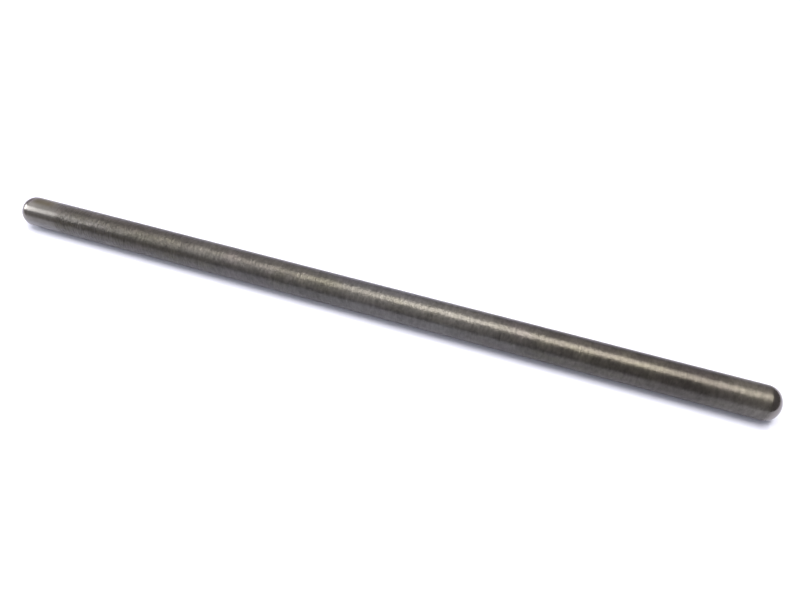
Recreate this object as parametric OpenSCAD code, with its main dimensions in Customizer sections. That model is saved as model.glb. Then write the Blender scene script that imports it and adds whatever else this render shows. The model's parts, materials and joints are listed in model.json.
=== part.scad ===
// Engine pushrod: one solid steel bar, ground to size along its whole length, with each
// end turned to a ball tip. It lies along X, with the middle of its axis at the origin.

/* [Bar] */
// Diameter of the ground bar
rod_d = 6; // [4:0.1:14]
// Length over both tips
rod_length = 149; // [60:1:400]

/* [Tips] */
// How much larger the ball of a tip is in radius than the bar
tip_extra_r = 0.5; // [0.1:0.05:4]
// Radius of the shoulder that rolls the bar's side over into the ball, up to the bar's own radius
shoulder_r = 2.25; // [0.2:0.05:7]

/* [Hidden] */
$fn = 96;

rod_r = rod_d / 2;
half_length = rod_length / 2;
ball_r = rod_r + tip_extra_r;
rolled_r = min(shoulder_r, rod_r);

// Ball and shoulder meet without a corner, so their centres lie the difference of their radii
// apart. The shoulder starts where the straight side of the bar ends.
shoulder_offset = rod_r - rolled_r;
ball_setback = sqrt(pow(ball_r - rolled_r, 2) - pow(shoulder_offset, 2));
meeting_angle = atan2(ball_setback, shoulder_offset);
tip_depth = ball_r - ball_setback;

// Spare size of the cutting shapes past the bar
spare = 1;

// What is turned away outside the shoulder, between the straight side and the ball
module shoulder_waste() {
    reach = ball_r + spare;
    difference() {
        polygon([
            [0, 0],
            [reach, 0],
            [reach, reach],
            reach * [cos(meeting_angle), sin(meeting_angle)]
        ]);
        circle(rolled_r);
    }
}

// What is turned away outside the ball, past the end of the straight side
module ball_waste() {
    difference() {
        square([rod_r + spare, ball_r + 2 * spare]);
        circle(ball_r);
    }
}

// All that is turned away at one end of the bar, with the end of its straight side at Y = 0
module tip_waste() {
    translate([0, -ball_setback])
        ball_waste();
    translate([shoulder_offset, 0])
        shoulder_waste();
}

// Half section of the rod, cut from a longer bar: radius along X, length along Y
module rod_section() {
    difference() {
        translate([0, -half_length - spare])
            square([rod_r, rod_length + 2 * spare]);
        for (end = [0, 1])
            mirror([0, end])
                translate([0, half_length - tip_depth])
                    tip_waste();
    }
}

module pushrod() {
    color("#6b6a64")
        rotate([0, 90, 0])
            rotate_extrude()
                rod_section();
}

pushrod();
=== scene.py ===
import json
import math

import bmesh
import bpy
from mathutils import Euler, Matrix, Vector


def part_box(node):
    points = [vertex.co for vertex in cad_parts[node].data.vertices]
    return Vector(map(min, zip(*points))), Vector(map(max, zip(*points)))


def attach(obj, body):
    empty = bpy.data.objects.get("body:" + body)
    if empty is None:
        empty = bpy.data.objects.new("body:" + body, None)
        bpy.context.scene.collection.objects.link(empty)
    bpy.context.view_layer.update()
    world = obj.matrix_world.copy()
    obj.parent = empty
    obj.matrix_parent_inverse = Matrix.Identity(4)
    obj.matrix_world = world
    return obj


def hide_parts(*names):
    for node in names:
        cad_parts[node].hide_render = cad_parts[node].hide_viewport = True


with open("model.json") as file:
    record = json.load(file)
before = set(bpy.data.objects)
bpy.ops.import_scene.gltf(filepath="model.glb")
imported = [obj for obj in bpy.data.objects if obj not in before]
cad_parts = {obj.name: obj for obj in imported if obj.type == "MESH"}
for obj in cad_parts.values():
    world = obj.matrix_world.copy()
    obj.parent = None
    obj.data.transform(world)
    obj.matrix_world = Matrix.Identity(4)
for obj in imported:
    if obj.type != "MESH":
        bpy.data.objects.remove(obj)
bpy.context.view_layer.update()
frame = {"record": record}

# Pushrod: one solid bar of carbon steel, ground between two wheels so that its satin finish runs
# round it, with both ends turned to ball tips that roll into the bar over a shoulder. The tip at
# -X has been rubbed bright for about one diameter by the cup that it worked in.
mm = 0.001
shank = next(mount for mount in frame["record"]["mounts"] if mount["name"] == "shank")
bar_r = shank["dims"]["r_mm"] * mm
straight_end = shank["dims"]["length_mm"] / 2 * mm
tip_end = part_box("pushrod")[1].x
tip_extra_r = 0.5 * mm
ball_r = bar_r + tip_extra_r
ball_centre = tip_end - ball_r
ball_setback = straight_end - ball_centre
shoulder_r = (ball_r**2 - ball_setback**2 - bar_r**2) / (2 * (ball_r - bar_r))
shoulder_centre_r = bar_r - shoulder_r
meeting_turn = math.atan2(ball_setback, shoulder_centre_r)
quarter_turn = math.radians(90)
bar_sides = 128
tip_rings = 32
side_ring_inset = 0.5 * mm
faces_end = 0.9

bpy.ops.object.select_all(action="DESELECT")
bpy.ops.mesh.primitive_cylinder_add(
    vertices=bar_sides,
    radius=bar_r,
    depth=2 * straight_end,
    rotation=(0, quarter_turn, 0),
    calc_uvs=False,
)
pushrod = bpy.context.object
pushrod.name = "ground_pushrod"
bpy.ops.object.transform_apply(location=False, rotation=True, scale=False)
bpy.ops.object.mode_set(mode="EDIT")
bpy.ops.mesh.select_mode(type="FACE")

# A ring just inside each end of the straight side keeps that side straight in the smooth shading
for end in (-1, 1):
    bpy.ops.mesh.select_all(action="SELECT")
    bpy.ops.mesh.bisect(plane_co=(end * (straight_end - side_ring_inset), 0, 0), plane_no=(1, 0, 0))

# Each flat end is drawn out ring by ring through the shoulder and the ball, and closed at the pole
for end in (-1, 1):
    bpy.ops.mesh.select_all(action="DESELECT")
    for face in bmesh.from_edit_mesh(pushrod.data).faces:
        face.select_set(face.normal.x * end > faces_end)
    ring_x = straight_end
    ring_r = bar_r
    for ring in range(1, tip_rings):
        turn = quarter_turn * ring / tip_rings
        if turn < meeting_turn:
            next_x = straight_end + shoulder_r * math.sin(turn)
            next_r = shoulder_centre_r + shoulder_r * math.cos(turn)
        else:
            next_x = ball_centre + ball_r * math.sin(turn)
            next_r = ball_r * math.cos(turn)
        bpy.ops.mesh.extrude_region_move(
            TRANSFORM_OT_translate={"value": (end * (next_x - ring_x), 0, 0)}
        )
        bpy.ops.transform.resize(
            value=(1, next_r / ring_r, next_r / ring_r),
            center_override=(end * next_x, 0, 0),
        )
        ring_x = next_x
        ring_r = next_r
    bpy.ops.mesh.poke(offset=tip_end - ring_x)

bpy.ops.mesh.select_all(action="SELECT")
bpy.ops.mesh.normals_make_consistent(inside=False)
bpy.ops.object.mode_set(mode="OBJECT")
bpy.ops.object.shade_smooth()

steel = bpy.data.materials.new("ground_steel")
steel.use_nodes = True
steel_nodes = steel.node_tree.nodes
steel_links = steel.node_tree.links
steel_shader = steel_nodes["Principled BSDF"]
place = steel_nodes.new("ShaderNodeTexCoord").outputs["Object"]


def steel_feed(socket, value):
    """Links a socket's value in, or sets it where it is a plain number or colour."""
    if isinstance(value, bpy.types.NodeSocket):
        steel_links.new(value, socket)
    else:
        socket.default_value = value


def steel_math(operation, first, second=0.0):
    """One Math node: first and second put together by the operation."""
    node = steel_nodes.new("ShaderNodeMath")
    node.operation = operation
    steel_feed(node.inputs[0], first)
    steel_feed(node.inputs[1], second)
    return node.outputs[0]


def steel_product(*factors):
    """All the factors multiplied, by one Math node after another."""
    product = factors[0]
    for factor in factors[1:]:
        product = steel_math("MULTIPLY", product, factor)
    return product


def steel_ramp(value, start, end, low=0.0, high=1.0):
    """A smooth climb from low to high as the value goes from start to end."""
    node = steel_nodes.new("ShaderNodeMapRange")
    node.interpolation_type = "SMOOTHSTEP"
    for name, number in (("From Min", start), ("From Max", end), ("To Min", low), ("To Max", high)):
        node.inputs[name].default_value = number
    steel_feed(node.inputs["Value"], value)
    return node.outputs["Result"]


def steel_stretch(value, start, full, fade, end, share=1.0):
    """A mask that climbs to its share from start to full, and falls again from fade to end."""
    return steel_product(steel_ramp(value, start, full, 0.0, share), steel_ramp(value, end, fade))


def steel_grain(along, around, detail, start=0.0):
    """Noise whose cells are 1 / along metres long on the bar's axis and 1 / around metres round it."""
    stretch = steel_nodes.new("ShaderNodeMapping")
    stretch.inputs["Location"].default_value = (start, start, start)
    stretch.inputs["Scale"].default_value = (along, around, around)
    noise = steel_nodes.new("ShaderNodeTexNoise")
    noise.inputs["Scale"].default_value = 1.0
    noise.inputs["Detail"].default_value = detail
    noise.inputs["Roughness"].default_value = 0.7
    steel_links.new(place, stretch.inputs["Vector"])
    steel_links.new(stretch.outputs["Vector"], noise.inputs["Vector"])
    return noise.outputs["Fac"]


def steel_swing(noise, low=0.0, high=1.0):
    """The middle range of a noise, spread from low to high."""
    return steel_ramp(noise, 0.3, 0.7, low, high)


def steel_mix(mask, first, second, blend="MIX"):
    """One colour laid over another where the mask is 1."""
    node = steel_nodes.new("ShaderNodeMix")
    node.data_type = "RGBA"
    node.blend_type = blend
    steel_feed(node.inputs["Factor"], mask)
    steel_feed(node.inputs["A"], first)
    steel_feed(node.inputs["B"], second)
    return node.outputs["Result"]


# Where the finish differs, by place on the rod in millimetres: the bright band at -X with its slanted,
# ragged edge, the two turned tips, the rubbed end before the tip at +X, the middle that handling wore
# lighter, and a browner half
in_mm = steel_nodes.new("ShaderNodeVectorMath")
in_mm.operation = "SCALE"
in_mm.inputs["Scale"].default_value = 1 / mm
steel_links.new(place, in_mm.inputs[0])
split = steel_nodes.new("ShaderNodeSeparateXYZ")
steel_links.new(in_mm.outputs["Vector"], split.inputs["Vector"])
place_x = split.outputs["X"]
place_y = split.outputs["Y"]
place_z = split.outputs["Z"]
edge_rag = 6.0
edge_slant = 0.3
faded_share = 0.1
ragged = steel_product(steel_grain(300, 400, 4), edge_rag)
slanted = steel_product(place_y, edge_slant)
rubbed_edge = steel_math("ADD", steel_math("ADD", place_x, slanted), ragged)
faded = steel_ramp(place_x, -46, -58)
rubbed = steel_ramp(rubbed_edge, -61.6, -65.0)
rubbed = steel_math("MAXIMUM", rubbed, steel_product(faded, faded_share))
past_bar = steel_math("SUBTRACT", steel_math("ABSOLUTE", place_x), straight_end / mm)
tips = steel_ramp(past_bar, -0.5, 0.6)
turned = steel_ramp(past_bar, -0.1, 1.0)
smooth = steel_math("MAXIMUM", rubbed, tips)
bright_tip = steel_ramp(place_x, -69.5, -73.5)
rubbed_end = steel_stretch(place_x, 60, 71, 72.2, 73.2)
worn_middle = steel_stretch(place_x, -12, 14, 18, 32, 0.36)
brown_half = steel_ramp(place_x, 20, 50, 0, 0.6)

# Faint tints: straw and purple that heat left on top of the bright tip, brown and oiled stretches past
# it, and a cooler top in the middle; and painted shade low on the front, which dims the floor's
# reflection there
upper = steel_ramp(place_z, 0.0, 1.0)
top_side = steel_product(steel_stretch(place_y, -0.9, 0.3, 1.4, 2.8), upper)
straw_top = steel_product(top_side, steel_stretch(place_x, -72.2, -70.6, -68, -65.5))
purple_top = steel_product(top_side, steel_ramp(place_x, -70.9, -72.5))
brown_top = steel_product(top_side, steel_stretch(place_x, -65, -60, -50, -36, 0.6))
oiled_top = steel_product(steel_ramp(place_z, 0.9, 2.0), steel_stretch(place_x, -57, -49, -38, -27, 0.5))
upper_front = steel_stretch(place_y, -1.6, -1.0, -0.2, 0.4)
oiled_patch = steel_product(upper_front, steel_stretch(place_x, -65, -60, -52, -45, 0.5))
top_and_back = steel_product(steel_ramp(place_y, -0.9, 0.3), upper)
cool_top = steel_product(top_and_back, steel_stretch(place_x, -18, -2, 8, 22))
# Painted shade: the low front towards -X is darkened in the colour, which dims the floor's reflection
# there
low_front = steel_product(steel_ramp(place_y, -2.1, -2.5), steel_ramp(place_z, 0.0, 0.8))
front_painted_shade = steel_product(low_front, steel_ramp(place_x, -22, -38))

# Three short nicks round the front of the bar, just past the bright band's edge
nick_half_w = 0.12
nick_half_l = 0.45
nick_z = 2.15
nick_share = 0.5
side_soft = 0.6
end_soft = 0.3
nick_rows = 0.0
for nick_x in (-64.3, -63.7, -62.9):
    nick_reach = steel_math("ABSOLUTE", steel_math("SUBTRACT", place_x, nick_x))
    nick_row = steel_ramp(nick_reach, (1 + side_soft) * nick_half_w, (1 - side_soft) * nick_half_w)
    nick_rows = steel_math("ADD", nick_rows, nick_row)
nick_height = steel_math("ABSOLUTE", steel_math("SUBTRACT", place_z, nick_z))
nick_length = steel_ramp(nick_height, (1 + end_soft) * nick_half_l, (1 - end_soft) * nick_half_l)
nicks = steel_product(steel_ramp(place_y, 0.0, -1.0), nick_length, nick_rows, nick_share)

# Wheel marks: short ticks and grooves round the bar, and the blotches of a bar that was handled and oiled
ticks = steel_grain(1600, 700, 3)
grooves = steel_grain(2400, 560, 2, 21.0)
blotches = steel_grain(220, 260, 3, 5.0)
drift = steel_grain(24, 60, 1, 3.0)
olive_blotches = steel_ramp(steel_grain(110, 240, 3, 9.0), 0.45, 0.7, 0, 0.6)
mauve_blotches = steel_ramp(steel_grain(90, 200, 3, 17.0), 0.45, 0.7, 0, 0.6)

steel_dark = (0.072, 0.0695, 0.0655, 1)
steel_light = (0.0845, 0.082, 0.0785, 1)
steel_brown = (0.0715, 0.0645, 0.0575, 1)
steel_olive = (0.089, 0.086, 0.069, 1)
steel_mauve = (0.091, 0.081, 0.084, 1)
steel_oiled = (0.052, 0.050, 0.046, 1)
steel_worn = (0.128, 0.1255, 0.121, 1)
steel_rubbed_end = (0.130, 0.1235, 0.109, 1)
steel_rubbed = (0.140, 0.137, 0.133, 1)
steel_tip = (0.198, 0.184, 0.172, 1)
steel_bright = (0.225, 0.220, 0.216, 1)
steel_straw = (0.114, 0.105, 0.080, 1)
steel_purple = (0.195, 0.174, 0.188, 1)
steel_nick = (0.025, 0.0225, 0.020, 1)
painted_shade_filter = (0.91, 0.885, 0.825, 1)
cool_filter = (0.97, 1.0, 1.08, 1)
rubbed_end_share = 0.8
finishes = (
    (brown_half, steel_brown),
    (olive_blotches, steel_olive),
    (mauve_blotches, steel_mauve),
    (brown_top, steel_brown),
    (oiled_top, steel_oiled),
    (oiled_patch, steel_oiled),
    (worn_middle, steel_worn),
    (steel_product(rubbed_end, rubbed_end_share), steel_rubbed_end),
    (rubbed, steel_rubbed),
    (turned, steel_tip),
    (bright_tip, steel_bright),
    (straw_top, steel_straw),
    (purple_top, steel_purple),
)
base = steel_mix(steel_swing(drift), steel_dark, steel_light)
for finish_mask, finish_colour in finishes:
    base = steel_mix(finish_mask, base, finish_colour)
# Painted shade darkens the low front towards -X, dimming the floor's reflection there
base = steel_mix(front_painted_shade, base, painted_shade_filter, "MULTIPLY")
base = steel_mix(cool_top, base, cool_filter, "MULTIPLY")
tick_share = steel_ramp(smooth, 0, 1, 1, 0.3)
base = steel_mix(tick_share, base, steel_swing(ticks, 0.82, 1.18), "MULTIPLY")
base = steel_mix(1.0, base, steel_swing(blotches, 0.86, 1.14), "MULTIPLY")
base = steel_mix(nicks, base, steel_nick)
steel_links.new(base, steel_shader.inputs["Base Color"])

rough = steel_math("ADD", steel_swing(ticks, 0.345, 0.395), steel_swing(blotches, -0.03, 0.035))
for zone, zone_rough in ((faded, 0.29), (rubbed_end, 0.45), (rubbed, 0.32), (tips, 0.18)):
    change = steel_product(zone, steel_math("SUBTRACT", zone_rough, rough))
    rough = steel_math("ADD", rough, change)
steel_links.new(rough, steel_shader.inputs["Roughness"])

# The relief swings about nothing, so that it can fade along the bar without a slope
groove_depth = 0.10 * mm
blotch_share = 0.3
noise_mean = 0.5
relief_mean = noise_mean * (1 + blotch_share)
relief = steel_math("ADD", grooves, steel_product(blotches, blotch_share))
relief = steel_product(
    steel_math("SUBTRACT", relief, relief_mean),
    steel_ramp(smooth, 0, 1, 1, 0.05),
    steel_ramp(place_x, -45, -20, 2.0, 1.25),
    steel_ramp(place_x, 25, 55, 1.0, 0.45),
)
bump = steel_nodes.new("ShaderNodeBump")
bump.inputs["Strength"].default_value = 1.0
bump.inputs["Distance"].default_value = groove_depth
steel_links.new(relief, bump.inputs["Height"])
steel_links.new(bump.outputs["Normal"], steel_shader.inputs["Normal"])

# The grain runs round the bar, so that a light spreads along it
grain = steel_nodes.new("ShaderNodeTangent")
grain.direction_type = "RADIAL"
grain.axis = "X"
steel_links.new(grain.outputs["Tangent"], steel_shader.inputs["Tangent"])
steel_shader.inputs["Anisotropic"].default_value = 0.5
steel_shader.inputs["Anisotropic Rotation"].default_value = 0.25
steel_shader.inputs["Metallic"].default_value = 1.0
steel_shader.inputs["Specular Tint"].default_value = (1.0, 0.975, 0.99, 1)

pushrod.data.materials.append(steel)
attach(pushrod, "root")
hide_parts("pushrod")

# Floor: a plain white card that the rod lies on, a little blue, which shows in the shadow. Far from
# the rod it glows, so that it runs into the white backdrop without an edge.
floor_width = 3.0
glow_start = 0.15
glow_full = 0.70
glow_strength = 0.80
card_colour = (0.65, 0.683, 0.808, 1)
glow_colour = (1, 1, 1, 1)
bpy.ops.object.select_all(action="DESELECT")
bpy.ops.mesh.primitive_plane_add(size=floor_width, location=(0, 0, -bar_r))
floor = bpy.context.object
floor.name = "floor"
card = bpy.data.materials.new("white_card")
card.use_nodes = True
card_nodes = card.node_tree.nodes
card_links = card.node_tree.links
card_shader = card_nodes["Principled BSDF"]
card_shader.inputs["Base Color"].default_value = card_colour
card_shader.inputs["Roughness"].default_value = 0.9
card_shader.inputs["Specular IOR Level"].default_value = 0.1
card_shader.inputs["Emission Color"].default_value = glow_colour
card_place = card_nodes.new("ShaderNodeTexCoord").outputs["Object"]
card_reach = card_nodes.new("ShaderNodeVectorMath")
card_reach.operation = "LENGTH"
card_links.new(card_place, card_reach.inputs[0])
card_glow = card_nodes.new("ShaderNodeMapRange")
card_glow.interpolation_type = "SMOOTHSTEP"
card_glow.inputs["From Min"].default_value = glow_start
card_glow.inputs["From Max"].default_value = glow_full
card_glow.inputs["To Max"].default_value = glow_strength
card_links.new(card_reach.outputs["Value"], card_glow.inputs["Value"])
card_links.new(card_glow.outputs["Result"], card_shader.inputs["Emission Strength"])
floor.data.materials.append(card)

# Lights: a small, bright soft box above the rod in front of a wide, dimmer strip, a wide warm one
# behind the rod, one before it, and a bright one low past the -X end with a dim fill beside it
overhead_tint = (1.0, 0.95, 0.87)
back_tint = (1.0, 0.93, 0.90)
fill_tint = (1.0, 0.96, 0.94)
end_tint = (1.0, 0.98, 0.96)


def soft_box(name, where, turn, size, radiance, tint):
    """A rectangular light of that radiance, which faces down before it is turned."""
    bpy.ops.object.light_add(type="AREA", location=where, rotation=turn)
    box = bpy.context.object
    box.name = name
    box.data.shape = "RECTANGLE"
    box.data.size, box.data.size_y = size
    box.data.energy = radiance * math.pi * size[0] * size[1]
    box.data.color = tint


# The end box leans in its own plane, so that the bright band and the ball mirror it at one height
end_place = Vector((-0.45, -0.122, 0.256))
end_lean = Euler((0, 0, math.radians(-42))).to_quaternion()
end_turn = (end_place.to_track_quat("Z", "Y") @ end_lean).to_euler()
fill_place = Vector((-0.40, 0.07, 0.36))
fill_turn = fill_place.to_track_quat("Z", "Y").to_euler()
back_turn = (math.radians(-43), 0, 0)
front_turn = (math.radians(49), 0, 0)
soft_box("overhead_box", (0.087, 0.004, 0.45), (0, 0, 0), (0.09, 0.28), 17.8, overhead_tint)
soft_box("overhead_strip", (-0.0525, -0.010, 0.46), (0, 0, 0), (0.415, 0.26), 5.3, overhead_tint)
soft_box("back_box", (-0.14, 0.34, 0.36), back_turn, (0.75, 0.42), 1.1, back_tint)
soft_box("front_box", (-0.14, -0.39, 0.34), front_turn, (0.32, 0.46), 1.2, fill_tint)
soft_box("end_box", end_place, end_turn, (0.19, 0.36), 5.3, end_tint)
soft_box("end_fill", fill_place, fill_turn, (0.20, 0.20), 0.9, fill_tint)

# Room: dim, lighter towards the back left and most so near the horizon, where a window stands, and
# dark past the +X end. The camera sees a plain white backdrop in its place.
room = bpy.data.worlds.new("dim_room")
room.use_nodes = True
room_nodes = room.node_tree.nodes
room_links = room.node_tree.links
room_way = room_nodes.new("ShaderNodeTexCoord").outputs["Generated"]


def room_side(direction, start, end):
    """A mask that climbs from 0 to 1 as the cosine with the direction goes from start to end."""
    cosine = room_nodes.new("ShaderNodeVectorMath")
    cosine.operation = "DOT_PRODUCT"
    cosine.inputs[1].default_value = direction
    room_links.new(room_way, cosine.inputs[0])
    climb = room_nodes.new("ShaderNodeMapRange")
    climb.interpolation_type = "SMOOTHSTEP"
    climb.inputs["From Min"].default_value = start
    climb.inputs["From Max"].default_value = end
    room_links.new(cosine.outputs["Value"], climb.inputs["Value"])
    return climb.outputs["Result"]


def room_both(first, second):
    """One Math node: where both masks are 1."""
    node = room_nodes.new("ShaderNodeMath")
    node.operation = "MULTIPLY"
    room_links.new(first, node.inputs[0])
    room_links.new(second, node.inputs[1])
    return node.outputs["Value"]


low = room_side((0, 0, 1), 0.35, 0.05)
back_left = room_side((-0.8, 0.6, 0), -0.2, 1.0)
low_back_left = room_both(low, back_left)
window = room_both(low, room_side((-0.38, 0.925, 0), 0.965, 0.998))
right_end = room_side((1, 0, 0), 0.45, 0.85)
camera_sees = room_nodes.new("ShaderNodeLightPath").outputs["Is Camera Ray"]
room_colour = room_nodes.new("ShaderNodeRGB").outputs["Color"]
room_colour.default_value = (0.33, 0.31, 0.318, 1)
room_parts = (
    (back_left, (0.54, 0.51, 0.525, 1)),
    (low_back_left, (1.00, 0.95, 0.98, 1)),
    (window, (1.60, 1.55, 1.60, 1)),
    (right_end, (0.21, 0.197, 0.203, 1)),
    (camera_sees, (1.2, 1.2, 1.2, 1)),
)
for part_mask, part_colour in room_parts:
    layer = room_nodes.new("ShaderNodeMix")
    layer.data_type = "RGBA"
    layer.inputs["B"].default_value = part_colour
    room_links.new(part_mask, layer.inputs["Factor"])
    room_links.new(room_colour, layer.inputs["A"])
    room_colour = layer.outputs["Result"]
room_links.new(room_colour, room_nodes["Background"].inputs["Color"])
bpy.context.scene.world = room
bpy.context.scene.view_settings.view_transform = "Standard"

# Camera: it looks down on the rod from the front, a little from the +X end's side, as in the
# photograph. Its place and lens are fitted to the rod's outline there.
view_azimuth = math.radians(18.749)
view_elevation = math.radians(50.116)
view_distance = 123.295 * mm
aim_right = 8.002 * mm
aim_up = -0.840 * mm
photo_width = 800
focal_pixels = 657.8
view_turn = Euler((quarter_turn - view_elevation, 0, view_azimuth))
bpy.ops.object.camera_add(
    location=view_turn.to_matrix() @ Vector((aim_right, aim_up, view_distance)),
    rotation=view_turn,
)
camera = bpy.context.object
camera.data.sensor_fit = "HORIZONTAL"
camera.data.lens = camera.data.sensor_width * focal_pixels / photo_width
camera.data.clip_start = 5 * mm
bpy.context.scene.camera = camera
